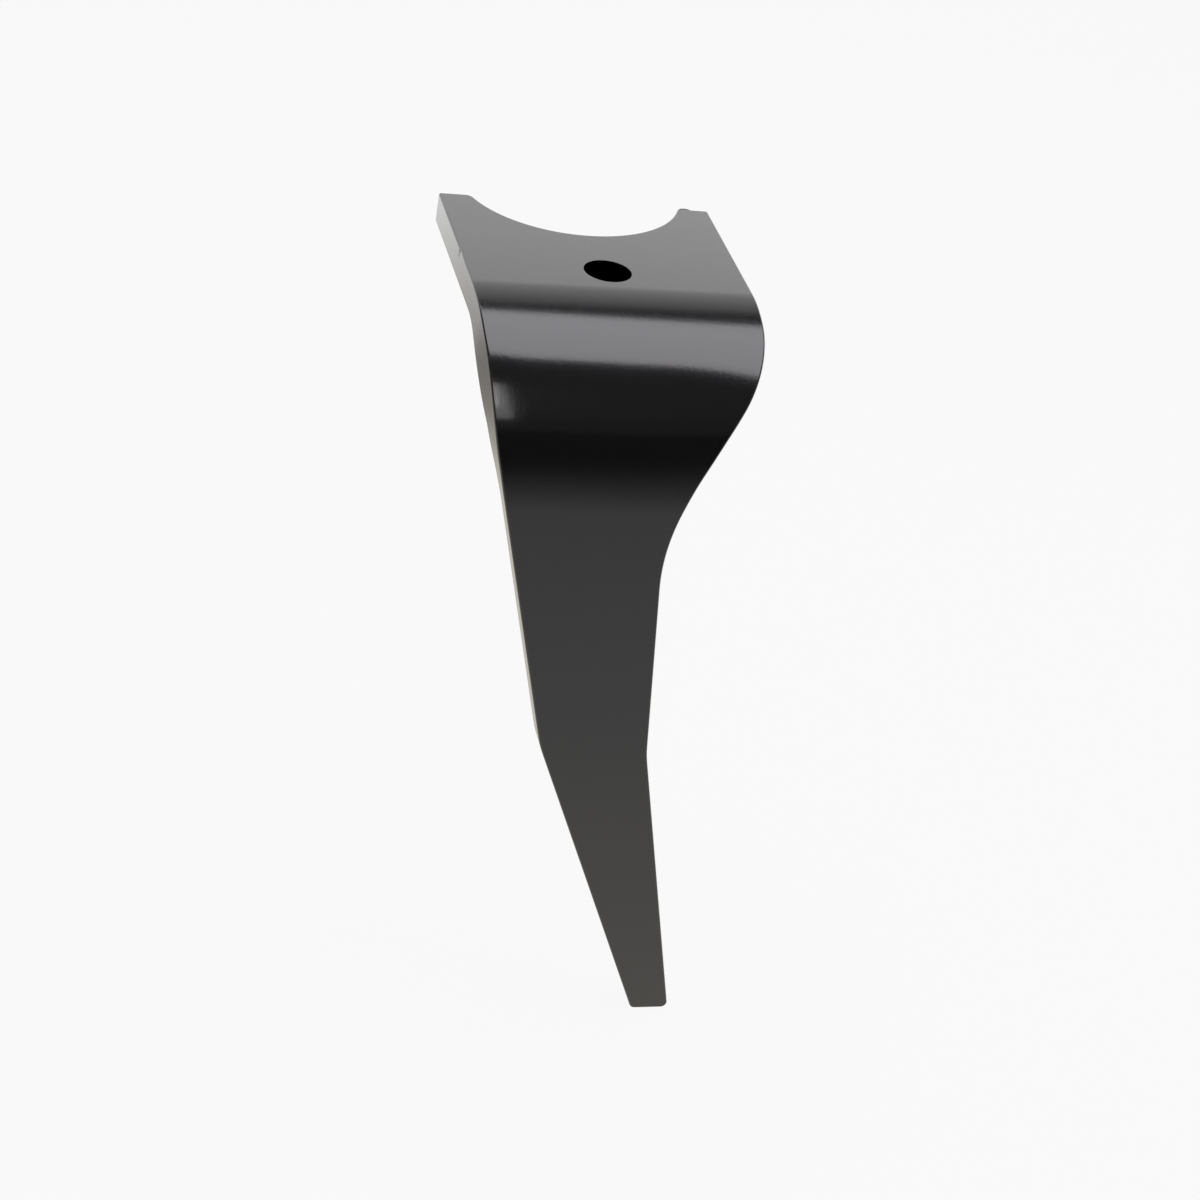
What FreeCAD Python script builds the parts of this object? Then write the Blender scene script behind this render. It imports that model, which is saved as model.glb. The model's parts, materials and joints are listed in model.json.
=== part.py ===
import FreeCAD, Part
import math
import os

# Rotary tiller blade: one steel plate, cut to outline and pressed round one bend.
# Millimetres.  X runs along the bend, +Y from the bolt hole towards the hub
# notch, +Z up out of the palm's top face.  The origin is the centre of the bolt
# hole on that top face.  A place "down the flat" is measured from the bolt hole
# along the outer skin: over the palm, round the bend and down the blade.

# --- plate and palm ---
plate = 12.0                # plate thickness
palm_width = 108.0          # across the palm, at the elbow
palm_flare = 1.1            # left side stands out by this at the horn
horn_left = 62.9            # hole centre to the horn line, at the left side
horn_right = 60.0           # hole centre to the horn line, at the right side
horn_round_left = 3.5       # corner of the left horn with the hub notch
horn_round_right = 2.0      # corner of the right horn with the hub notch
bolt_hole = 18.0            # bolt hole diameter
notch_radius = 44.0         # hub notch radius
notch_centre = 75.0         # hole centre to the hub notch centre

# --- bend: three tangent arcs of the outer skin ---
bend_start = 13.0           # hole centre to the first tangent line
entry_radius = 60.0
entry_angle = 30.0
main_radius = 42.0
main_angle = 48.0
exit_radius = 150.0         # this arc takes what is left of the bend
bend_angle = 90.0
side_swell = 2.2            # how far the inside edge stands out past the outside one

# --- blade outline, down the flat ---
elbow = 64.0                # left side turns off the palm's line
elbow_radius = 240.0
shoulder = 52.0             # right side turns off the palm's line
shoulder_radius = 80.0
waist = 117.5               # right side turns on to the blade's line
waist_inset = 34.3          # palm's right side to the waist corner
waist_radius = 88.0
knee_left = 217.5           # left side steepens
knee_left_inset = 40.3      # palm's left side to the left knee
knee_right = 222.0          # right side turns outwards again
knee_right_lean = 10.8      # waist corner to the right knee
knee_radius = 60.0
tip = 356.5                 # end of the blade
tip_lean = 59.7             # left knee to the tip's left corner
tip_width = 16.3
tip_round = 2.5

edge_round = 0.8            # rounded edge all along both skins

# --- values that follow ---
half = palm_width / 2.0
knee_x = knee_left_inset - half
waist_x = half - waist_inset
exit_angle = bend_angle - entry_angle - main_angle
ARCS = (
    (entry_radius, math.radians(entry_angle)),
    (main_radius, math.radians(main_angle)),
    (exit_radius, math.radians(exit_angle)),
)
bend_end = bend_start + sum(radius * angle for radius, angle in ARCS)
reach = 2.0 * palm_width    # well past the plate on each side
spare = 2.0                 # cutters run on past a skin by this
same = 0.01                 # places this near each other are the same place
spans = 30                  # spans of a side curve round the bend

# Corners (down the flat, across) and the radius at each inner corner.
LEFT = (
    ((-horn_left, -half - palm_flare), (elbow, -half), (knee_left, knee_x), (tip, knee_x + tip_lean)),
    (elbow_radius, knee_radius),
)
RIGHT = (
    (
        (-horn_right, half),
        (shoulder, half),
        (waist, waist_x),
        (knee_right, waist_x + knee_right_lean),
        (tip, knee_x + tip_lean + tip_width),
    ),
    (shoulder_radius, waist_radius, knee_radius),
)


def skin_point(down, across, depth=0.0):
    """Space point of a place on the flat, a depth below the outer skin."""
    y = -min(down, bend_start)
    z = 0.0
    lean = 0.0
    run = down - bend_start
    for radius, angle in ARCS:
        turn = min(max(run / radius, 0.0), angle)
        y -= radius * (math.sin(lean + turn) - math.sin(lean))
        z -= radius * (math.cos(lean) - math.cos(lean + turn))
        lean += turn
        run -= radius * angle
    y -= max(run, 0.0) * math.cos(lean)
    z -= max(run, 0.0) * math.sin(lean)
    return FreeCAD.Vector(across, y + depth * math.sin(lean), z - depth * math.cos(lean))


def corner_arc(before, corner, after, radius):
    """Tangent points and centre of a rounded outline corner."""
    p = FreeCAD.Vector(before[0] - corner[0], before[1] - corner[1], 0).normalize()
    q = FreeCAD.Vector(after[0] - corner[0], after[1] - corner[1], 0).normalize()
    half_angle = p.getAngle(q) / 2.0
    along = radius / math.tan(half_angle)
    middle = (p + q).normalize() * (radius / math.sin(half_angle))
    first = (corner[0] + p.x * along, corner[1] + p.y * along)
    last = (corner[0] + q.x * along, corner[1] + q.y * along)
    centre = (corner[0] + middle.x, corner[1] + middle.y)
    return first, last, centre


def side_pieces(side):
    """Lines (start, end, None) and arcs (start, end, centre) of one side."""
    corners, radii = side
    pieces = []
    here = corners[0]
    for i, radius in enumerate(radii):
        first, last, centre = corner_arc(corners[i], corners[i + 1], corners[i + 2], radius)
        pieces.append((here, first, None))
        pieces.append((first, last, centre))
        here = last
    pieces.append((here, corners[-1], None))
    return pieces


def across_on(piece, down):
    """Distance across of a line or arc piece at a place down the flat."""
    start, end, centre = piece
    if centre is None:
        return start[1] + (end[1] - start[1]) * (down - start[0]) / (end[0] - start[0])
    radius = math.hypot(start[0] - centre[0], start[1] - centre[1])
    rise = math.sqrt(radius ** 2 - (down - centre[0]) ** 2)
    return centre[1] + math.copysign(rise, start[1] - centre[1])


def across_at(side, down):
    for piece in side_pieces(side):
        if down <= piece[1][0]:
            return across_on(piece, down)
    return across_on(piece, down)


def side_edges(side, start, end):
    """True lines and arcs of a side between two places, on a flat stretch."""
    edges = []
    for piece in side_pieces(side):
        a = max(start, piece[0][0])
        b = min(end, piece[1][0])
        if b - a < same:
            continue
        stops = [skin_point(s, across_on(piece, s)) for s in (a, (a + b) / 2.0, b)]
        if piece[2] is None:
            edges.append(Part.makeLine(stops[0], stops[2]))
        else:
            edges.append(Part.Arc(*stops).toShape())
    return edges


def flat_face(start, end):
    """Outline of a flat stretch of the plate, both sides and both ends."""
    left = side_edges(LEFT, start[0], end)
    right = side_edges(RIGHT, start[1], end)
    top = Part.makeLine(left[0].firstVertex(True).Point, right[0].firstVertex(True).Point)
    foot = Part.makeLine(left[-1].lastVertex(True).Point, right[-1].lastVertex(True).Point)
    ordered = Part.__sortEdges__(left + [foot] + right + [top])
    return Part.Face(Part.Wire(ordered))


def make_palm():
    solid = flat_face((-horn_left, -horn_right), bend_start).extrude(FreeCAD.Vector(0, 0, -plate))
    base = FreeCAD.Vector(0, notch_centre, -plate - spare)
    hub = Part.makeCylinder(notch_radius, plate + 2 * spare, base)
    return solid.cut(hub)


def make_blade():
    inward = skin_point(tip, 0.0, plate) - skin_point(tip, 0.0)
    return flat_face((bend_end, bend_end), tip).extrude(inward)


def swell_at(down):
    """Full difference between the inside and the outside edge of the bend."""
    u = (down - bend_start) / (bend_end - bend_start)
    return side_swell * math.sin(math.pi * min(max(u, 0.0), 1.0)) ** 2


def side_cutter(side, sign):
    """All the space beyond one side of the bend, its wall square to the skins."""
    stops = [bend_start + (bend_end - bend_start) * i / spans for i in range(-1, spans + 2)]
    rails = []
    for depth in (-spare, plate + spare):
        points = []
        for down in stops:
            out = sign * swell_at(down) * (depth - plate / 2.0) / plate
            points.append(skin_point(down, across_at(side, down) + out, depth))
        rail = Part.BSplineCurve()
        rail.interpolate(Points=points, Parameters=stops)
        rails.append(rail.toShape())
    wall = Part.makeRuledSurface(rails[0], rails[1])
    return wall.extrude(FreeCAD.Vector(sign * reach, 0, 0))


def make_bend():
    """Ring sectors of the three arcs, cut to the two curved sides."""
    outer = []
    inner = []
    down = bend_start
    for radius, angle in ARCS:
        stops = [down, down + radius * angle / 2.0, down + radius * angle]
        outer.append(Part.Arc(*[skin_point(s, -reach) for s in stops]).toShape())
        inner.append(Part.Arc(*[skin_point(s, -reach, plate) for s in stops]).toShape())
        down = stops[2]
    ends = [Part.makeLine(skin_point(s, -reach), skin_point(s, -reach, plate)) for s in (bend_start, bend_end)]
    section = Part.Face(Part.Wire(Part.__sortEdges__(outer + inner + ends)))
    bend = section.extrude(FreeCAD.Vector(2 * reach, 0, 0))
    return bend.cut(side_cutter(LEFT, -1)).cut(side_cutter(RIGHT, 1))


def edges_where(shape, test):
    return [edge for edge in shape.Edges if test(edge)]


def goes_through(edge):
    """True for an edge that runs square through the plate."""
    ends = [vertex.Point for vertex in edge.Vertexes]
    if len(ends) != 2:
        return False
    return abs(ends[0].distanceToPoint(ends[1]) - plate) < same and abs(edge.Length - plate) < same


def round_corners(shape):
    """Horn corners at the hub notch and the two corners of the tip."""
    for radius, side in ((horn_round_left, -1), (horn_round_right, 1)):
        horn = edges_where(
            shape,
            lambda e: goes_through(e)
            and abs(math.hypot(e.Vertexes[0].X, e.Vertexes[0].Y - notch_centre) - notch_radius) < same
            and e.Vertexes[0].X * side > 0,
        )
        shape = shape.makeFillet(radius, horn)
    foot = skin_point(tip, 0.0).z
    ends = edges_where(shape, lambda e: goes_through(e) and abs(e.Vertexes[0].Z - foot) < same)
    return shape.makeFillet(tip_round, ends)


def round_edges(shape):
    """Small rounding of every edge that runs along a skin."""
    along = edges_where(shape, lambda e: not goes_through(e) and on_rim(shape, e))
    return shape.makeFillet(edge_round, along)


def on_rim(shape, edge):
    """True where the two faces at an edge meet at a sharp angle."""
    faces = shape.ancestorsOfType(edge, Part.Face)
    if len(faces) != 2:
        return False
    middle = edge.valueAt((edge.FirstParameter + edge.LastParameter) / 2.0)
    normals = []
    for face in faces:
        u, v = face.Surface.parameter(middle)
        normals.append(face.normalAt(u, v))
    return math.degrees(normals[0].getAngle(normals[1])) > 45.0


def make_part():
    solid = make_palm().fuse([make_bend(), make_blade()]).removeSplitter()
    if len(solid.Solids) == 1:
        solid = solid.Solids[0]
    solid = round_edges(round_corners(solid))
    bore = Part.makeCylinder(bolt_hole / 2.0, plate + 2 * spare, FreeCAD.Vector(0, 0, -plate - spare))
    return solid.cut(bore)


def main():
    os.makedirs("parts", exist_ok=True)
    shape = make_part()
    print("solids", len(shape.Solids), "valid", shape.isValid(), "volume", round(shape.Volume))
    shape.exportStep("parts/blade.step")


main()
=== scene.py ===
import json
import math

import bpy
import numpy as np
from bpy.props import FloatProperty, FloatVectorProperty, PointerProperty
from mathutils import Matrix, Vector
from mathutils.geometry import delaunay_2d_cdt


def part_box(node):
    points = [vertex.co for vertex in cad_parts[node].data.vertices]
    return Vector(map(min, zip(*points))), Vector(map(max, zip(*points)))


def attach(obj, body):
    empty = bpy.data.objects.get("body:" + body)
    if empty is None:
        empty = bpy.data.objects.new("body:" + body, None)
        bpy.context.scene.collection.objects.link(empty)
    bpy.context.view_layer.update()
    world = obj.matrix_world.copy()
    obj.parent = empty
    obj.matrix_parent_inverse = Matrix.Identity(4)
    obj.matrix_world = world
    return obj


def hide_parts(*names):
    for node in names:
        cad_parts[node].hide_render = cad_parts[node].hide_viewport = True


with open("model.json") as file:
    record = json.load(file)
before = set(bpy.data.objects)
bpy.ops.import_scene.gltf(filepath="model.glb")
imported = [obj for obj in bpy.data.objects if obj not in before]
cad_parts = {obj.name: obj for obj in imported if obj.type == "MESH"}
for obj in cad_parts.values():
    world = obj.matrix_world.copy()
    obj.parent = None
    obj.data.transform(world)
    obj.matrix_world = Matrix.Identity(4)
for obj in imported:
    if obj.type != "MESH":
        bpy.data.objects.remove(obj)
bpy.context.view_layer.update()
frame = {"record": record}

# Blade of a rotary harrow, in metres.  X runs along the bend, +Y from the bolt
# hole towards the hub notch, +Z up out of the palm.  The body is laid out as a
# flat pattern, (across, ahead), with ahead measured from the bolt hole towards
# the horns, and is then wrapped round the bend.

bl_info = {
    "name": "Rotary tiller blade",
    "version": (1, 0, 0),
    "blender": (4, 5, 0),
    "location": "3D View > Sidebar > Blade",
    "description": "Builds a black painted rotary tiller blade and its studio",
    "category": "Object",
}

MM = 0.001
WHITE = (1.0, 1.0, 1.0)
TOUCHING = 0.01 * MM  # points nearer than this are one point
HOLE_POINTS = 64  # points round the bolt hole
BATCH = 500  # points that are tested against an outline at a time
SKIN, EDGE, BURR = 0.0, 1.0, 2.0  # values of the edge mark
BOLT = next(m for m in frame["record"]["mounts"] if m["name"] == "bolt_hole")
LOW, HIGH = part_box("blade")


def length(name, description, millimetres):
    return FloatProperty(
        name=name, description=description, default=millimetres * MM, unit="LENGTH", precision=5
    )


def spot(name, description, millimetres):
    return FloatVectorProperty(
        name=name,
        description=description,
        default=[value * MM for value in millimetres],
        unit="LENGTH",
        subtype="TRANSLATION",
    )


def turn(name, description, degrees):
    return FloatProperty(
        name=name, description=description, default=math.radians(degrees), unit="ROTATION"
    )


def share(name, description, value):
    return FloatProperty(
        name=name, description=description, default=value, min=0.0, max=1.0, subtype="FACTOR"
    )


def amount(name, description, value):
    return FloatProperty(name=name, description=description, default=value)


def colour(name, description, value):
    return FloatVectorProperty(
        name=name, description=description, default=value, min=0.0, max=1.0, subtype="COLOR"
    )


class BladeSizes(bpy.types.PropertyGroup):
    """Sizes of the steel plate, its outline and its bend."""

    plate: length("Plate", "Plate thickness", BOLT["dims"]["length_mm"])
    hole: length("Bolt hole", "Bolt hole radius", BOLT["dims"]["r_mm"])
    half: length("Half width", "Bolt hole to each side of the palm", 54.0)
    flare: length("Flare", "Left side stands out by this at the horn", 1.1)
    horn_left: length("Left horn", "Bolt hole to the end of the left horn", HIGH.y / MM)
    horn_right: length("Right horn", "Bolt hole to the end of the right horn", 60.0)
    horn_round_left: length("Left horn corner", "Corner of the left horn with the notch", 3.5)
    horn_round_right: length("Right horn corner", "Corner of the right horn with the notch", 2.0)
    heel_round: length("Heel corner", "Outer corner of each horn", 1.0)
    notch: length("Notch", "Hub notch radius", 44.0)
    notch_ahead: length("Notch centre", "Bolt hole to the hub notch centre", 75.0)
    bend_start: length("Bend start", "Bolt hole to the start of the bend", 13.0)
    entry_radius: length("Entry radius", "First arc of the outer skin", 60.0)
    entry_turn: turn("Entry turn", "Angle of the first arc", 30.0)
    main_radius: length("Main radius", "Second arc of the outer skin", 42.0)
    main_turn: turn("Main turn", "Angle of the second arc", 48.0)
    exit_radius: length("Exit radius", "Last arc of the outer skin", 150.0)
    exit_turn: turn("Exit turn", "Angle of the last arc", 12.0)
    swell: length("Swell", "Inside edge of the bend stands out by this", 2.2)
    elbow: length("Elbow", "Left side turns off the palm's line", 64.0)
    elbow_round: length("Elbow radius", "Curve at the elbow", 240.0)
    shoulder: length("Shoulder", "Right side turns off the palm's line", 52.0)
    shoulder_round: length("Shoulder radius", "Curve at the shoulder", 80.0)
    waist: length("Waist", "Right side turns on to the blade's line", 117.5)
    waist_inset: length("Waist inset", "Palm's right side to the waist", 34.3)
    waist_round: length("Waist radius", "Curve at the waist", 88.0)
    knee_left: length("Left knee", "Left side steepens", 217.5)
    knee_left_inset: length("Left knee inset", "Palm's left side to the left knee", 40.3)
    knee_right: length("Right knee", "Right side turns outwards", 222.0)
    knee_right_lean: length("Right knee lean", "Waist to the right knee, across", 10.8)
    knee_round: length("Knee radius", "Curve at each knee", 60.0)
    tip: length("Tip", "Bolt hole to the end of the blade, down the flat", 356.5)
    tip_lean: length("Tip lean", "Left knee to the tip's left corner, across", 59.7)
    tip_width: length("Tip width", "Width of the square end", 16.3)
    tip_round: length("Tip corner", "Corner of the square end", 2.5)
    edge_round: length("Edge", "Rounded edge along both skins", 0.8)
    hole_round: length("Hole edge", "Rounded edge of the bolt hole", 0.2)
    roll_left: length("Left roll", "Width of the rolled skin beside the bend's left side", 16.0)
    roll_right: length("Right roll", "Width of the rolled skin beside the bend's right side", 32.0)
    roll_turn: turn("Roll", "Lean of the rolled skin at the very edge", 8.5)
    roll_late: share("Roll start", "Part of the bend that comes before the roll", 0.22)
    burr: length("Burr", "Burr on the right horn's end stands out by this", 1.3)
    burr_start: length("Burr start", "Bolt hole to the near side of the burr", 41.5)
    burr_end: length("Burr end", "Bolt hole to the far side of the burr", 46.3)
    burr_crest: share("Burr crest", "Part of the burr that comes before its highest point", 0.75)
    burr_reach: length("Burr reach", "Burr lies this near to the horn's end", 2.5)
    nick: length("Nick", "Depth of the nick in the left edge of the palm", 0.6)
    nick_depth: length("Nick height", "Depth down the side over which the nick runs out", 3.0)
    nick_ahead: length("Nick place", "Bolt hole to the nick", 14.0)
    nick_length: length("Nick length", "Length over which the nick runs out", 16.0)
    nick_lip: length("Nick lip", "Length over which the nick sets in", 0.5)
    outline_step: length("Outline step", "Spacing of points along the outline", 1.0)
    skin_step: length("Skin step", "Spacing of points over the skins", 1.3)
    skin_gap: share("Skin gap", "Least gap from the outline to those points, as a part of it", 0.7)


class BladePaint(bpy.types.PropertyGroup):
    """Colours and finish of the black paint."""

    black: colour("Black", "Colour of the paint", (0.0125, 0.0125, 0.0130))
    thin: colour("Thin paint", "Colour where paint is thin on an edge", (0.045, 0.042, 0.038))
    cut: colour("Cut face", "Colour of the paint on the cut sides", (0.024, 0.022, 0.020))
    scale: colour("Scale", "Colour of the bare scale on the burr", (0.010, 0.009, 0.008))
    roughness: share("Roughness", "Roughness of the paint's surface", 0.15)
    rough_scale: share("Scale roughness", "Roughness of the bare scale", 0.75)
    gloss: FloatProperty(
        name="Gloss", description="Refractive index of the paint", default=1.65, min=1.3, max=1.8
    )
    peel: length("Orange peel", "Size of the ripples in the paint", 1.2)
    peel_height: length("Peel height", "Height of the ripples", 0.034)
    grain: length("Grain", "Width of the faint lines down the blade", 1.4)
    grain_height: length("Grain height", "Height of the faint lines", 0.03)
    grain_stretch: share("Grain stretch", "Width of the faint lines over their length", 0.12)
    cut_height: length("Cut height", "Height of the marks on the cut sides", 0.03)
    cut_ripple: length("Cut ripple", "Size of the ripples on the cut sides", 3.0)
    cut_line: length("Cut line", "Width of the lines down the cut sides", 1.2)
    cut_stretch: share("Cut stretch", "Width of those lines over their length", 0.15)
    patch: length("Patches", "Size of the patches of uneven paint", 5.0)
    patch_rough: share("Patch roughness", "Roughness that a patch adds", 0.03)
    fleck: length("Flecks", "Size of the flecks of thin paint on the cut sides", 0.7)
    fleck_share: share("Fleck share", "How readily a fleck shows", 0.08)
    edge_wear: share("Edge wear", "Least share of thin paint along an edge", 0.35)


class StudioSizes(bpy.types.PropertyGroup):
    """Floor, backdrop, lamps and camera."""

    floor: colour("Floor", "Colour of the floor", (0.86, 0.85, 0.83))
    warm: colour("Warm floor", "Tint of the floor behind, seen in the paint", (1.0, 0.955, 0.85))
    floor_size: length("Floor size", "Side of the square floor", 12000.0)
    floor_white: share("Floor white", "Share of plain white in the floor as seen", 0.92)
    backdrop_place: spot("Backdrop place", "Middle of the backdrop", (500.0, 1700.0, 1090.0))
    backdrop_width: length("Backdrop width", "Width of the backdrop", 5000.0)
    backdrop_height: length("Backdrop height", "Height of the backdrop", 2800.0)
    dusk: colour("Room", "Light of the dim room", (0.045, 0.045, 0.048))
    top_light: amount("Top light", "Brightness of the softbox overhead, white is 1", 1.75)
    top_tint: colour("Top tint", "Tint of the softbox overhead", (0.965, 0.945, 1.0))
    top_place: spot("Top place", "Middle of the softbox overhead", (450.0, 50.0, 1500.0))
    top_width: length("Top width", "Long side of the softbox overhead", 2200.0)
    top_depth: length("Top depth", "Short side of the softbox overhead", 1190.0)
    top_turn: turn("Top turn", "Softbox overhead, turned about the vertical", -25.0)
    front_light: amount("Front light", "Brightness of the narrow softbox in front, white is 1", 1.5)
    front_place: spot("Front place", "Middle of the narrow softbox", (-400.0, -1760.0, 1150.0))
    front_width: length("Front width", "Width of the narrow softbox", 600.0)
    front_height: length("Front height", "Height of the narrow softbox", 1000.0)
    wide_light: amount("Wide light", "Brightness of the wide softbox in front, white is 1", 0.8)
    wide_place: spot("Wide place", "Middle of the wide softbox", (-300.0, -1750.0, 950.0))
    wide_width: length("Wide width", "Width of the wide softbox", 800.0)
    wide_height: length("Wide height", "Height of the wide softbox", 1400.0)
    card_light: amount("Front card", "Brightness of the grey card in front, white is 1", 0.05)
    card_place: spot("Card place", "Middle of the grey card", (300.0, -1900.0, 1050.0))
    card_width: length("Card width", "Width of the grey card", 3200.0)
    card_height: length("Card height", "Height of the grey card", 1200.0)
    lens: length("Lens", "Focal length of the camera on a 36 mm sensor", 74.51)
    look_at: spot("Look at", "Point that the camera looks at", (-0.8, -67.9, -103.4))
    distance: length("Distance", "Camera to the point it looks at", 933.8)
    azimuth: turn("Azimuth", "Camera round the blade, from the front towards the right", -17.314)
    elevation: turn("Elevation", "Camera above level", 32.164)
    roll: turn("Roll", "Camera about its own axis", 10.392)


# How bright the floor (along Y) and the backdrop (along Z) look in the gloss, as stops
# of a place in metres, the share of white there and the share of the warm tint.
# These stops paint light and shade into the glow. The floor's glow is dimmed under
# the blade as a painted shadow, and towards the front as painted fall-off of light.
# The backdrop's glow is painted darker towards the top.
FLOOR_PAINTED_SHADE = (
    (-1.0, 0.01, 0.0),
    (-0.8, 0.07, 0.0),
    (-0.62, 0.16, 0.0),
    (-0.48, 0.31, 0.0),
    (-0.3, 0.36, 0.0),
    (0.08, 0.60, 1.0),
    (0.36, 0.60, 1.0),
    (0.56, 0.50, 0.6),
    (0.74, 1.0, 0.0),
)
# painted shade: the backdrop's glow in the gloss grows darker towards the top
BACKDROP_PAINTED_SHADE = (
    (0.78, 1.0, 0.0),
    (0.83, 0.84, 0.0),
    (0.93, 0.66, 0.0),
    (1.15, 0.60, 0.0),
    (1.6, 0.48, 0.0),
    (2.1, 0.32, 0.0),
    (2.45, 0.12, 0.0),
)


# --- flat pattern ---


def rounded_corner(before, corner, after, radius):
    """First and last point and centre of the arc that rounds a corner."""
    p = (before - corner).normalized()
    q = (after - corner).normalized()
    half_angle = p.angle(q) / 2.0
    along = radius / math.tan(half_angle)
    centre = corner + (p + q).normalized() * (radius / math.sin(half_angle))
    return corner + p * along, corner + q * along, centre


def notch_corner(start, end, centre, notch, radius):
    """Arc between the straight horn line and the hub notch, nearer to start."""
    run = (end - start).normalized()
    inward = Vector((-run.y, run.x))
    if inward.y > 0.0:
        inward = -inward
    base = start + inward * radius
    to_centre = centre - base
    middle = to_centre.dot(run)
    off = (to_centre - run * middle).length
    place = base + run * (middle - math.sqrt((notch + radius) ** 2 - off ** 2))
    on_line = place - inward * radius
    on_notch = place + (centre - place).normalized() * radius
    return on_line, on_notch, place


def arc_points(first, last, centre, step):
    """Points and outward normals along an arc; its short way round."""
    a = first - centre
    b = last - centre
    sweep = math.atan2(a.x * b.y - a.y * b.x, a.dot(b))
    side = 1.0 if sweep > 0.0 else -1.0
    count = max(4, math.ceil(abs(sweep) * a.length / step))
    found = []
    for i in range(count + 1):
        t = sweep * i / count
        arm = Vector((a.x * math.cos(t) - a.y * math.sin(t), a.x * math.sin(t) + a.y * math.cos(t)))
        found.append((centre + arm, arm.normalized() * side))
    return found


def line_points(first, last, step):
    """Points between two ends, without the ends, and their outward normal."""
    run = last - first
    count = max(1, round(run.length / step))
    normal = Vector((run.y, -run.x)).normalized()
    return [(first + run * (i / count), normal) for i in range(1, count)]


def outline(size):
    """Points and outward normals once round the plate, the body on the left."""
    knee_x = size.knee_left_inset - size.half
    waist_x = size.half - size.waist_inset
    corners = [
        (Vector((-size.half - size.flare, size.horn_left)), size.heel_round),
        (Vector((-size.half, -size.elbow)), size.elbow_round),
        (Vector((knee_x, -size.knee_left)), size.knee_round),
        (Vector((knee_x + size.tip_lean, -size.tip)), size.tip_round),
        (Vector((knee_x + size.tip_lean + size.tip_width, -size.tip)), size.tip_round),
        (Vector((waist_x + size.knee_right_lean, -size.knee_right)), size.knee_round),
        (Vector((waist_x, -size.waist)), size.waist_round),
        (Vector((size.half, -size.shoulder)), size.shoulder_round),
        (Vector((size.half, size.horn_right)), size.heel_round),
    ]
    arcs = []
    for i, (corner, radius) in enumerate(corners):
        after = corners[(i + 1) % len(corners)][0]
        arcs.append(rounded_corner(corners[i - 1][0], corner, after, radius))
    left, right = corners[0][0], corners[-1][0]
    hub = Vector((0.0, size.notch_ahead))
    into_notch = notch_corner(right, left, hub, size.notch, size.horn_round_right)
    out_of_notch = notch_corner(left, right, hub, size.notch, size.horn_round_left)
    line_start, notch_end, left_centre = out_of_notch
    arcs += [into_notch, (into_notch[1], notch_end, hub), (notch_end, line_start, left_centre)]
    points = []
    for i, (first, last, centre) in enumerate(arcs):
        points += arc_points(first, last, centre, size.outline_step)
        following = arcs[(i + 1) % len(arcs)][0]
        if (following - last).length > TOUCHING:
            points += line_points(last, following, size.outline_step)
        else:
            points.pop()
    places = np.array([p for p, n in points])
    normals = np.array([n for p, n in points])
    return places, normals


def roughen(size, border, normals):
    """Outline with the burr on the right horn's end.

    Gives the share of burr and the depth of the nick in the left side at each point too."""
    x, y = border[:, 0], border[:, 1]
    run = np.clip((x - size.burr_start) / (size.burr_end - size.burr_start), 0.0, 1.0)
    crest = size.burr_crest
    rise = np.sin(0.5 * math.pi * run / crest) ** 0.5
    fall = 1.0 - ((run - crest) / (1.0 - crest)) ** 4
    on_horn = (y > size.horn_right - size.burr_reach) & (x > 0.0) & (run < 1.0)
    lump = np.where(on_horn, np.where(run < crest, rise, fall), 0.0)
    past = size.nick_ahead - y
    along = np.clip(past / size.nick_length, 0.0, 1.0)
    dent = np.clip(past / size.nick_lip, 0.0, 1.0) * (1.0 - along) ** 2
    steep = 0.9
    on_left_side = (x < 0.0) & (normals[:, 0] < -steep)
    dent = np.where(on_left_side, dent, 0.0)
    moved = border.copy()
    moved[:, 1] += size.burr * lump
    return moved, lump, size.nick * dent


def hole_ring(size):
    """Points and normals of the bolt hole, the normals into the hole."""
    turns = np.arange(HOLE_POINTS) * 2.0 * math.pi / HOLE_POINTS
    arm = np.stack([np.cos(turns), np.sin(turns)], 1)
    return arm * size.hole, -arm


# --- wrapping round the bend ---


def bend_arcs(size):
    """Radius and angle of each arc of the outer skin."""
    return (
        (size.entry_radius, size.entry_turn),
        (size.main_radius, size.main_turn),
        (size.exit_radius, size.exit_turn),
    )


def bend_length(size):
    """Length of the whole bend along the outer skin."""
    return sum(radius * angle for radius, angle in bend_arcs(size))


def bend_part(size, ahead):
    """Part of the bend that is passed at each place: 0 before it and 1 after it."""
    return np.clip((-ahead - size.bend_start) / bend_length(size), 0.0, 1.0)


def wrap(size, across, ahead, depth):
    """Space points of places in the flat pattern, each at a depth below the outer skin.

    Gives the lean of the plate there too, as an angle from level."""
    down = -ahead
    y = -np.minimum(down, size.bend_start)
    z = np.zeros_like(down)
    lean = np.zeros_like(down)
    run = down - size.bend_start
    for radius, angle in bend_arcs(size):
        step = np.clip(run / radius, 0.0, angle)
        y = y - radius * (np.sin(lean + step) - np.sin(lean))
        z = z - radius * (np.cos(lean) - np.cos(lean + step))
        lean = lean + step
        run = run - radius * angle
    run = np.maximum(run, 0.0)
    y = y - run * np.cos(lean)
    z = z - run * np.sin(lean)
    return np.stack([across, y + depth * np.sin(lean), z - depth * np.cos(lean)], 1), lean


def swell_at(size, ahead):
    """Full difference between the inside and the outside edge of the bend."""
    return size.swell * np.sin(math.pi * bend_part(size, ahead)) ** 2


def spread(size, across, ahead, depth):
    """Across, moved out on the inside of the bend and in on the outside."""
    return across * (1.0 + swell_at(size, ahead) * (depth / size.plate - 0.5) / size.half)


def place_points(size, flat, depth):
    """Space points and lean of places in the flat pattern, with the swell of the bend."""
    across = spread(size, flat[:, 0], flat[:, 1], depth)
    return wrap(size, across, flat[:, 1], depth)


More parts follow.
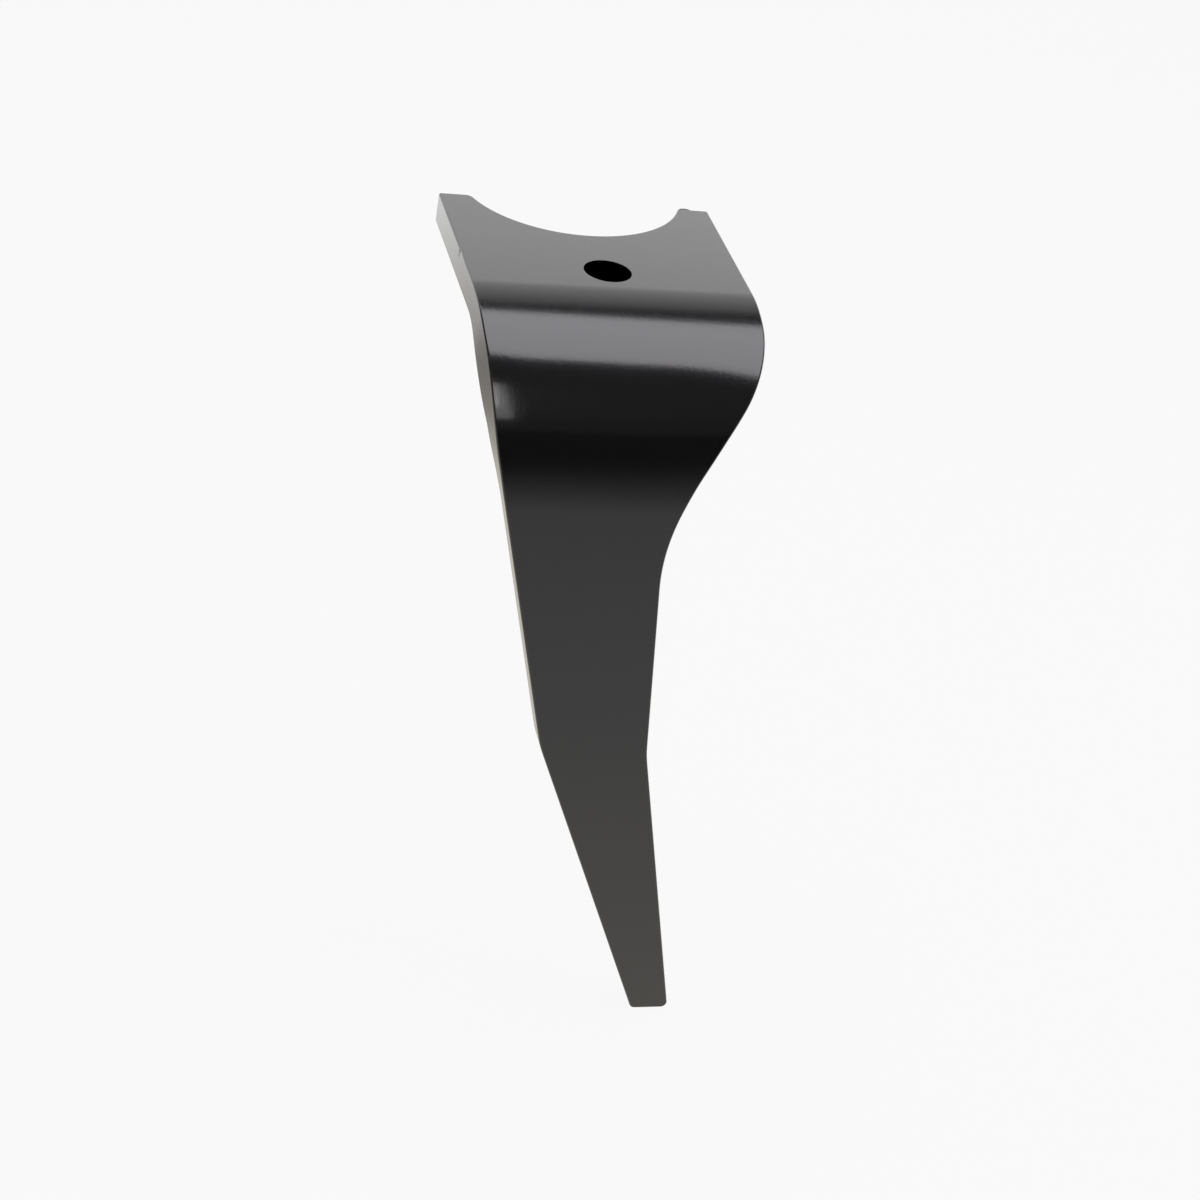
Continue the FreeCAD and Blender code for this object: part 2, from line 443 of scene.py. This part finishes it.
def roll_off(size, flat, border):
    """Drop of the outer skin beside the sides of the bend, and its slope across."""
    passed = (bend_part(size, flat[:, 1]) - size.roll_late) / (1.0 - size.roll_late)
    zone = np.sin(math.pi * np.clip(passed, 0.0, 1.0)) ** 2
    bend_end = size.bend_start + bend_length(size)
    from_middle = np.abs(border[:, 1] + 0.5 * (size.bend_start + bend_end))
    near = clearance(flat, border[from_middle < bend_end])
    left = flat[:, 0] < 0.0
    width = np.where(left, size.roll_left, size.roll_right)
    part = np.clip(1.0 - near / width, 0.0, 1.0)
    power = 1.5
    slope = size.roll_turn * zone * part ** power
    drop = size.roll_turn * zone * width * part ** (power + 1.0) / (power + 1.0)
    return drop, np.where(left, -slope, slope)


def turn_normals(size, flat, sideways, up):
    """Space normals from a part along the flat pattern and a part out of the outer skin."""
    lean = wrap(size, flat[:, 0], flat[:, 1], np.zeros(len(flat)))[1]
    wall_lean = swell_at(size, flat[:, 1]) / size.plate
    up = up + wall_lean * np.abs(sideways[:, 0])
    y = sideways[:, 1] * np.cos(lean) - up * np.sin(lean)
    z = sideways[:, 1] * np.sin(lean) + up * np.cos(lean)
    found = np.stack([sideways[:, 0], y, z], 1)
    return found / np.linalg.norm(found, axis=1, keepdims=True)


# --- the body's mesh ---


def edge_profile(size, radius, wall_rings=6, arc_rings=5):
    """Rings from the outer skin down the wall to the inner skin.

    Each is an inset, a depth, and the normal's part sideways and up."""
    rings = []
    for i in range(arc_rings + 1):
        t = 0.5 * math.pi * i / arc_rings
        sideways, up = math.sin(t), math.cos(t)
        rings.append((radius * (1.0 - sideways), radius * (1.0 - up), sideways, up))
    for i in range(1, wall_rings):
        rings.append((0.0, radius + (size.plate - 2.0 * radius) * i / wall_rings, 1.0, 0.0))
    for i in range(arc_rings, -1, -1):
        inset, depth, sideways, up = rings[i]
        rings.append((inset, size.plate - depth, sideways, -up))
    return rings


def inside(points, loop):
    """Which points lie inside a closed loop."""
    x, y = points[:, 0][:, None], points[:, 1][:, None]
    a, b = loop, np.roll(loop, -1, axis=0)
    crosses = (a[:, 1] > y) != (b[:, 1] > y)
    rise = np.where(b[:, 1] == a[:, 1], 1.0, b[:, 1] - a[:, 1])
    at = a[:, 0] + (y - a[:, 1]) * (b[:, 0] - a[:, 0]) / rise
    return (np.sum(crosses & (x < at), axis=1) % 2) == 1


def clearance(points, loop):
    """Distance from each point to the nearest point of a loop."""
    found = []
    for part in np.array_split(points, max(1, len(points) // BATCH)):
        gaps = part[:, None, :] - loop[None, :, :]
        found.append(np.sqrt((gaps ** 2).sum(2)).min(1))
    return np.concatenate(found)


def skin_net(size, border, hole):
    """Flat points and triangles of one skin, its first points the two loops."""
    step = size.skin_step
    xs = np.arange(border[:, 0].min(), border[:, 0].max(), step)
    ys = np.arange(border[:, 1].min(), border[:, 1].max(), step)
    grid = np.stack(np.meshgrid(xs, ys), 2).reshape(-1, 2)
    keep = []
    for part in np.array_split(grid, math.ceil(len(grid) / BATCH)):
        part = part[inside(part, border) & ~inside(part, hole)]
        if len(part):
            near = np.minimum(clearance(part, border), clearance(part, hole))
            keep.append(part[near > size.skin_gap * step])
    points = np.concatenate([border, hole] + keep)
    n, m = len(border), len(hole)
    edges = [(i, (i + 1) % n) for i in range(n)]
    edges += [(n + i, n + (i + 1) % m) for i in range(m)]
    flat = [Vector(point) for point in points / MM]
    triangles_inside, tolerance = 1, 1e-6
    _, _, faces, sources, _, _ = delaunay_2d_cdt(flat, edges, [], triangles_inside, tolerance)
    if len(sources) != len(points):
        raise RuntimeError("two points of the flat pattern fall together")
    source = np.array([found[0] for found in sources])
    faces = source[np.array(faces)]
    middles = points[faces].mean(1)
    return points, faces[~inside(middles, hole) & inside(middles, border)]


def wall_quads(rows, count):
    """Quads between the rings of one loop; each row holds the vertices of its ring."""
    quads = []
    for upper, lower in zip(rows, rows[1:]):
        for i in range(count):
            j = (i + 1) % count
            quads.append((upper[i], lower[i], lower[j], upper[j]))
    return quads


class Body:
    """Vertices, normals, faces and marks, gathered as the body is made."""

    def __init__(self):
        self.places = []
        self.normals = []
        self.marks = []
        self.cuts = []
        self.faces = []
        self.count = 0

    def add(self, places, normals, mark, cut):
        """Keep a row of vertices and give its first number; cut is 1 on a cut side."""
        start = self.count
        self.places.append(places)
        self.normals.append(normals)
        self.marks.append(np.zeros(len(places)) + mark)
        self.cuts.append(np.zeros(len(places)) + cut)
        self.count += len(places)
        return start


def add_skin(body, size, flat, faces, depth, up, border):
    """One skin of the plate; up is 1 for the outer skin and -1 for the inner one."""
    outer = max(up, 0.0)
    drop, slope = roll_off(size, flat, border)
    places, _ = place_points(size, flat, depth + drop * outer)
    sideways = np.stack([slope * outer, np.zeros(len(flat))], 1)
    normals = turn_normals(size, flat, sideways, np.full(len(flat), up))
    x, y = flat[:, 0], flat[:, 1]
    on_burr = (x > size.burr_start) & (x < size.burr_end) & (y > size.horn_right - size.edge_round)
    start = body.add(places, normals, np.where(on_burr, BURR, SKIN), 0.0)
    order = faces if up > 0.0 else faces[:, ::-1]
    body.faces += [tuple(int(start + i) for i in face) for face in order]
    return start


def add_rim(body, size, places, normals, radius, top, foot, border, burrs, nicks):
    """Rounded edges and wall round one loop, joined to both skins."""
    count = len(places)
    profile = edge_profile(size, radius)
    rows = [top]
    for inset, depth, sideways, up in profile[1:-1]:
        nearby = max(0.0, 1.0 - max(depth - radius, 0.0) / size.nick_depth)
        flat = places - normals * (inset + nicks * nearby)[:, None]
        drop, slope = roll_off(size, flat, border)
        level = 1.0 - depth / size.plate
        found, _ = place_points(size, flat, depth + drop * level)
        across = normals * sideways
        across[:, 0] += slope * max(up, 0.0)
        turned = turn_normals(size, flat, across, np.full(count, up))
        mark = EDGE if inset or up else SKIN
        start = body.add(found, turned, np.maximum(mark, BURR * burrs), 1.0)
        rows.append([start + i for i in range(count)])
    rows.append(foot)
    body.faces += wall_quads(rows, count)


def blade_mesh(size):
    """Mesh of the whole body, with its own normals and its edge and cut marks."""
    border, border_normals = outline(size)
    border, burrs, nicks = roughen(size, border, border_normals)
    hole, hole_normals = hole_ring(size)
    inner_border = border - border_normals * (size.edge_round + nicks)[:, None]
    inner_hole = hole - hole_normals * size.hole_round
    flat, faces = skin_net(size, inner_border, inner_hole)
    body = Body()
    top = add_skin(body, size, flat, faces, 0.0, 1.0, border)
    foot = add_skin(body, size, flat, faces, size.plate, -1.0, border)
    n, m = len(border), len(hole)
    loops = (
        (border, border_normals, size.edge_round, 0, n, burrs, nicks),
        (hole, hole_normals, size.hole_round, n, m, np.zeros(m), np.zeros(m)),
    )
    for places, normals, radius, first, count, marks, dents in loops:
        top_row = [top + first + i for i in range(count)]
        foot_row = [foot + first + i for i in range(count)]
        add_rim(body, size, places, normals, radius, top_row, foot_row, border, marks, dents)
    mesh = bpy.data.meshes.new("blade_body")
    mesh.from_pydata(np.concatenate(body.places).tolist(), [], body.faces)
    mesh.validate()
    mesh.polygons.foreach_set("use_smooth", [True] * len(mesh.polygons))
    mesh.normals_split_custom_set_from_vertices(np.concatenate(body.normals).tolist())
    for name, values in (("edge_mark", body.marks), ("cut_mark", body.cuts)):
        attribute = mesh.attributes.new(name, "FLOAT", "POINT")
        attribute.data.foreach_set("value", np.concatenate(values).astype(np.float32))
    return mesh


# --- materials ---


def new_group(name, inputs, outputs):
    """Shader node group, with its input node and its output node."""
    group = bpy.data.node_groups.new(name, "ShaderNodeTree")
    for label, kind, default in inputs:
        socket = group.interface.new_socket(name=label, in_out="INPUT", socket_type=kind)
        socket.default_value = default
    for label, kind in outputs:
        group.interface.new_socket(name=label, in_out="OUTPUT", socket_type=kind)
    return group, group.nodes.new("NodeGroupInput"), group.nodes.new("NodeGroupOutput")


def add_node(tree, kind, values=(), **settings):
    """Node with its settings made first, and then the values of its inputs."""
    node = tree.nodes.new(kind)
    for key, value in settings.items():
        setattr(node, key, value)
    for key, value in dict(values).items():
        node.inputs[key].default_value = value
    return node


def math_node(tree, operation, first, second):
    """Result of one operation on two values, each a number or a socket."""
    node = add_node(tree, "ShaderNodeMath", operation=operation)
    for socket, value in zip(node.inputs, (first, second)):
        if isinstance(value, (int, float)):
            socket.default_value = value
        else:
            tree.links.new(value, socket)
    return node.outputs[0]


def clamped(result):
    """The same result, kept between 0 and 1."""
    result.node.use_clamp = True
    return result


def noise(tree, place, size, detail, roughness):
    """Noise in places as wide as a size, which is a socket."""
    made = add_node(tree, "ShaderNodeTexNoise", {"Detail": detail, "Roughness": roughness})
    tree.links.new(place, made.inputs["Vector"])
    tree.links.new(math_node(tree, "DIVIDE", 1.0, size), made.inputs["Scale"])
    return made.outputs["Fac"]


def ripple_group():
    """Height of sprayed paint: soft ripples, and drawn-out ones that run down the plate."""
    group, given, result = new_group(
        "Sprayed ripple",
        (
            ("Ripple size", "NodeSocketFloat", 2.2 * MM),
            ("Ripple height", "NodeSocketFloat", 0.02 * MM),
            ("Line width", "NodeSocketFloat", 1.4 * MM),
            ("Line height", "NodeSocketFloat", 0.01 * MM),
            ("Line stretch", "NodeSocketVector", (1.0, 0.1, 0.1)),
        ),
        (("Height", "NodeSocketFloat"),),
    )
    link = group.links.new
    place = group.nodes.new("ShaderNodeTexCoord").outputs["Object"]
    ripple = noise(group, place, given.outputs["Ripple size"], detail=1.0, roughness=0.4)
    ripple_high = math_node(group, "MULTIPLY", ripple, given.outputs["Ripple height"])
    drawn = add_node(group, "ShaderNodeVectorMath", operation="MULTIPLY")
    link(place, drawn.inputs[0])
    link(given.outputs["Line stretch"], drawn.inputs[1])
    stretched, width = drawn.outputs["Vector"], given.outputs["Line width"]
    lines = noise(group, stretched, width, detail=2.0, roughness=0.5)
    lines_high = math_node(group, "MULTIPLY", lines, given.outputs["Line height"])
    link(math_node(group, "ADD", ripple_high, lines_high), result.inputs["Height"])
    return group


def mottle_group():
    """Share of uneven, flecked paint, as patches with small flecks between them."""
    group, given, result = new_group(
        "Uneven paint",
        (
            ("Patch size", "NodeSocketFloat", 6.0 * MM),
            ("Fleck size", "NodeSocketFloat", 0.8 * MM),
            ("Fleck share", "NodeSocketFloat", 0.1),
        ),
        (("Patches", "NodeSocketFloat"), ("Flecks", "NodeSocketFloat")),
    )
    patch_low, patch_high = 0.35, 0.65
    fleck_level, fleck_sharpness = 0.8, 12.0
    link = group.links.new
    place = group.nodes.new("ShaderNodeTexCoord").outputs["Object"]
    patches = noise(group, place, given.outputs["Patch size"], detail=3.0, roughness=0.55)
    limits = {"From Min": patch_low, "From Max": patch_high}
    spread_out = add_node(group, "ShaderNodeMapRange", limits)
    link(patches, spread_out.inputs["Value"])
    link(spread_out.outputs["Result"], result.inputs["Patches"])
    flecks = noise(group, place, given.outputs["Fleck size"], detail=1.0, roughness=0.5)
    start = math_node(group, "SUBTRACT", fleck_level, given.outputs["Fleck share"])
    over = math_node(group, "SUBTRACT", flecks, start)
    link(clamped(math_node(group, "MULTIPLY", over, fleck_sharpness)), result.inputs["Flecks"])
    return group


def mix_colour(tree, share_of, first, second):
    """Mixed colour, by a share's socket; each colour is a plain value or a socket."""
    mix = add_node(tree, "ShaderNodeMix", data_type="RGBA")
    tree.links.new(share_of, mix.inputs["Factor"])
    for socket, value in (("A", first), ("B", second)):
        if isinstance(value, bpy.types.NodeSocket):
            tree.links.new(value, mix.inputs[socket])
        else:
            mix.inputs[socket].default_value = (*value, 1.0)
    return mix.outputs["Result"]


def paint_material(paint):
    """Gloss black enamel, rippled, marked on the cut sides and thinner on the edges."""
    material = bpy.data.materials.new("Gloss black paint")
    material.use_nodes = True
    tree, link = material.node_tree, material.node_tree.links.new
    shader = tree.nodes["Principled BSDF"]
    shader.inputs["IOR"].default_value = paint.gloss
    shader.inputs["Coat Roughness"].default_value = paint.roughness
    shader.inputs["Coat IOR"].default_value = paint.gloss
    mark = add_node(tree, "ShaderNodeAttribute", attribute_name="edge_mark").outputs["Fac"]
    cut = add_node(tree, "ShaderNodeAttribute", attribute_name="cut_mark").outputs["Fac"]
    scale = clamped(math_node(tree, "SUBTRACT", mark, EDGE))
    blotch = {
        "Patch size": paint.patch,
        "Fleck size": paint.fleck,
        "Fleck share": paint.fleck_share,
    }
    uneven = add_node(tree, "ShaderNodeGroup", blotch, node_tree=mottle_group())
    patches, flecks = uneven.outputs["Patches"], uneven.outputs["Flecks"]

    down_plate = {
        "Ripple size": paint.peel,
        "Ripple height": paint.peel_height,
        "Line width": paint.grain,
        "Line height": paint.grain_height,
        "Line stretch": (1.0, paint.grain_stretch, paint.grain_stretch),
    }
    ripple = add_node(tree, "ShaderNodeGroup", down_plate, node_tree=ripple_group())
    down_side = {
        "Ripple size": paint.cut_ripple,
        "Ripple height": paint.cut_height,
        "Line width": paint.cut_line,
        "Line height": paint.cut_height,
        "Line stretch": (1.0, 1.0, paint.cut_stretch),
    }
    marks = add_node(tree, "ShaderNodeGroup", down_side, node_tree=ripple.node_tree)
    on_cut = math_node(tree, "MULTIPLY", marks.outputs["Height"], cut)
    bump = add_node(tree, "ShaderNodeBump", {"Strength": 1.0, "Distance": 1.0})
    link(math_node(tree, "ADD", ripple.outputs["Height"], on_cut), bump.inputs["Height"])
    link(bump.outputs["Normal"], shader.inputs["Normal"])

    body = mix_colour(tree, math_node(tree, "MULTIPLY", cut, patches), paint.black, paint.cut)
    edges = math_node(tree, "MULTIPLY", mark, math_node(tree, "ADD", paint.edge_wear, patches))
    worn = mix_colour(tree, clamped(edges), body, paint.thin)
    flecked = mix_colour(tree, math_node(tree, "MULTIPLY", flecks, cut), worn, paint.thin)
    link(mix_colour(tree, scale, flecked, paint.scale), shader.inputs["Base Color"])
    rough_patch = math_node(tree, "MULTIPLY", patches, paint.patch_rough)
    rough = math_node(tree, "ADD", paint.roughness, rough_patch)
    rough_scale = math_node(tree, "MULTIPLY", scale, paint.rough_scale)
    link(math_node(tree, "ADD", rough, rough_scale), shader.inputs["Roughness"])
    link(math_node(tree, "SUBTRACT", 1.0, scale), shader.inputs["Coat Weight"])
    return material


def fade(tree, axis, stops, tint):
    """White glow fading along one axis, from stops of place, share and share of the tint; the stops
    paint light and shade into the glow.
    """
    place = tree.nodes.new("ShaderNodeTexCoord")
    apart = tree.nodes.new("ShaderNodeSeparateXYZ")
    tree.links.new(place.outputs["Object"], apart.inputs["Vector"])
    first, last = stops[0][0], stops[-1][0]
    along = add_node(tree, "ShaderNodeMapRange", {"From Min": first, "From Max": last})
    tree.links.new(apart.outputs[axis], along.inputs["Value"])
    ramp = tree.nodes.new("ShaderNodeValToRGB")
    tree.links.new(along.outputs["Result"], ramp.inputs["Fac"])
    while len(ramp.color_ramp.elements) < len(stops):
        ramp.color_ramp.elements.new(0.5)
    for element, (at, level, warmth) in zip(ramp.color_ramp.elements, stops):
        element.position = (at - first) / (last - first)
        element.color = (*[level * (1.0 - warmth * (1.0 - part)) for part in tint], 1.0)
    return ramp.outputs["Color"]


def seen_white(name, base, axis, stops, tint=WHITE, camera_share=1.0):
    """Matt surface that glows white by a share to the camera, and fades away in gloss."""
    material = bpy.data.materials.new(name)
    material.use_nodes = True
    tree, link = material.node_tree, material.node_tree.links.new
    shader = tree.nodes["Principled BSDF"]
    shader.inputs["Base Color"].default_value = (*base, 1.0)
    shader.inputs["Roughness"].default_value = 1.0
    shader.inputs["Specular IOR Level"].default_value = 0.0
    path = tree.nodes.new("ShaderNodeLightPath")
    glossy, through = path.outputs["Is Glossy Ray"], path.outputs["Is Transmission Ray"]
    mirrored = math_node(tree, "MAXIMUM", glossy, through)
    white = add_node(tree, "ShaderNodeEmission", {"Strength": 1.0})
    faded = fade(tree, axis, stops, tint)
    link(mix_colour(tree, mirrored, WHITE, faded), white.inputs["Color"])
    by_camera = math_node(tree, "MULTIPLY", path.outputs["Is Camera Ray"], camera_share)
    mix = tree.nodes.new("ShaderNodeMixShader")
    link(math_node(tree, "ADD", by_camera, mirrored), mix.inputs[0])
    link(shader.outputs["BSDF"], mix.inputs[1])
    link(white.outputs["Emission"], mix.inputs[2])
    link(mix.outputs[0], tree.nodes["Material Output"].inputs["Surface"])
    return material


def plain_glow(name, level):
    """Grey card that glows evenly."""
    material = bpy.data.materials.new(name)
    material.use_nodes = True
    shader = material.node_tree.nodes["Principled BSDF"]
    shader.inputs["Base Color"].default_value = (0.0, 0.0, 0.0, 1.0)
    shader.inputs["Emission Color"].default_value = (*WHITE, 1.0)
    shader.inputs["Emission Strength"].default_value = level
    shader.inputs["Specular IOR Level"].default_value = 0.0
    return material


# --- operators ---


class BLADE_OT_body(bpy.types.Operator):
    """Build the bent and drilled plate with its rounded edges and paint"""

    bl_idname = "blade.body"
    bl_label = "Blade"

    def execute(self, context):
        size = context.scene.blade_sizes
        mesh = blade_mesh(size)
        mesh.materials.append(paint_material(context.scene.blade_paint))
        blade = bpy.data.objects.new("blade_body", mesh)
        context.scene.collection.objects.link(blade)
        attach(blade, "root")
        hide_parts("blade")
        return {"FINISHED"}


def panel(name, centre, width, height, material, lying=False):
    """Stage rectangle that faces the front, or lies level."""
    across = Vector((width / 2.0, 0.0, 0.0))
    up = Vector((0.0, height / 2.0, 0.0)) if lying else Vector((0.0, 0.0, height / 2.0))
    low, high = centre - up, centre + up
    corners = [low - across, low + across, high + across, high - across]
    mesh = bpy.data.meshes.new(name)
    mesh.from_pydata(corners, [], [(0, 1, 2, 3)])
    mesh.materials.append(material)
    made = bpy.data.objects.new(name, mesh)
    bpy.context.scene.collection.objects.link(made)
    return made


def softbox(name, place, width, depth, brightness, tilt=0.0, spin=0.0, tint=WHITE):
    """Rectangular lamp whose face is brightness times white; untilted, it faces down."""
    lamp = bpy.data.lights.new(name, "AREA")
    lamp.shape = "RECTANGLE"
    lamp.size = width
    lamp.size_y = depth
    lamp.energy = brightness * math.pi * width * depth
    lamp.color = tint
    made = bpy.data.objects.new(name, lamp)
    made.location = place
    made.rotation_euler = (tilt, 0.0, spin)
    bpy.context.scene.collection.objects.link(made)
    made.visible_camera = False
    return made


def dim_room(studio):
    """World that is white to the camera and dim to everything else."""
    world = bpy.data.worlds.new("Studio")
    world.use_nodes = True
    tree = world.node_tree
    path = tree.nodes.new("ShaderNodeLightPath")
    seen = mix_colour(tree, path.outputs["Is Camera Ray"], studio.dusk, WHITE)
    tree.links.new(seen, tree.nodes["Background"].inputs["Color"])
    return world


def aim_camera(studio):
    """Camera at its azimuth, elevation and distance round the look point."""
    camera = bpy.data.cameras.new("camera")
    camera.sensor_width = 36.0
    camera.lens = studio.lens / MM
    camera.clip_start = 0.01
    made = bpy.data.objects.new("camera", camera)
    round_z = Matrix.Rotation(studio.azimuth, 4, "Z")
    raised = Matrix.Rotation(0.5 * math.pi - studio.elevation, 4, "X")
    axes = round_z @ raised @ Matrix.Rotation(studio.roll, 4, "Z")
    place = studio.look_at + axes.col[2].to_3d() * studio.distance
    made.matrix_world = Matrix.Translation(place) @ axes
    bpy.context.scene.collection.objects.link(made)
    return made


class BLADE_OT_stage(bpy.types.Operator):
    """Build the pale floor, the backdrop, the lamps and the camera"""

    bl_idname = "blade.stage"
    bl_label = "Studio"

    def execute(self, context):
        studio = context.scene.blade_studio
        warm, white = studio.warm, studio.floor_white
        # the floor's glow in the gloss carries a painted shadow under the blade and painted
        # fall-off towards the front
        pale = seen_white("Pale floor", studio.floor, "Y", FLOOR_PAINTED_SHADE, warm, camera_share=white)
        side = studio.floor_size
        panel("floor", Vector((0.0, 0.0, LOW.z)), side, side, pale, lying=True)
        # the backdrop's glow in the gloss is painted darker towards the top
        wall = seen_white("Pale backdrop", studio.floor, "Z", BACKDROP_PAINTED_SHADE)
        width, height = studio.backdrop_width, studio.backdrop_height
        panel("backdrop", studio.backdrop_place, width, height, wall)
        grey = plain_glow("Grey card", studio.card_light)
        card = panel("front_card", studio.card_place, studio.card_width, studio.card_height, grey)
        card.visible_camera = False
        softbox(
            "top_softbox",
            studio.top_place,
            studio.top_width,
            studio.top_depth,
            studio.top_light,
            spin=studio.top_turn,
            tint=studio.top_tint,
        )
        upright = 0.5 * math.pi
        softbox(
            "front_softbox",
            studio.front_place,
            studio.front_width,
            studio.front_height,
            studio.front_light,
            tilt=upright,
        )
        softbox(
            "wide_softbox",
            studio.wide_place,
            studio.wide_width,
            studio.wide_height,
            studio.wide_light,
            tilt=upright,
        )
        context.scene.world = dim_room(studio)
        context.scene.camera = aim_camera(studio)
        context.scene.view_settings.view_transform = "Standard"
        return {"FINISHED"}


class BLADE_PT_panel(bpy.types.Panel):
    """Blade tools"""

    bl_idname = "BLADE_PT_panel"
    bl_label = "Rotary tiller blade"
    bl_space_type = "VIEW_3D"
    bl_region_type = "UI"
    bl_category = "Blade"

    def draw(self, context):
        for operator in OPERATORS:
            self.layout.operator(operator.bl_idname)
        scene = context.scene
        for group in (scene.blade_sizes, scene.blade_paint, scene.blade_studio):
            for name in type(group).__annotations__:
                self.layout.prop(group, name)


OPERATORS = (BLADE_OT_body, BLADE_OT_stage)
CLASSES = (BladeSizes, BladePaint, StudioSizes) + OPERATORS + (BLADE_PT_panel,)


def register():
    for cls in CLASSES:
        bpy.utils.register_class(cls)
    bpy.types.Scene.blade_sizes = PointerProperty(type=BladeSizes)
    bpy.types.Scene.blade_paint = PointerProperty(type=BladePaint)
    bpy.types.Scene.blade_studio = PointerProperty(type=StudioSizes)


def unregister():
    del bpy.types.Scene.blade_sizes
    del bpy.types.Scene.blade_paint
    del bpy.types.Scene.blade_studio
    for cls in reversed(CLASSES):
        bpy.utils.unregister_class(cls)


def main():
    register()
    bpy.ops.blade.body()
    bpy.ops.blade.stage()


if __name__ == "__main__":
    main()
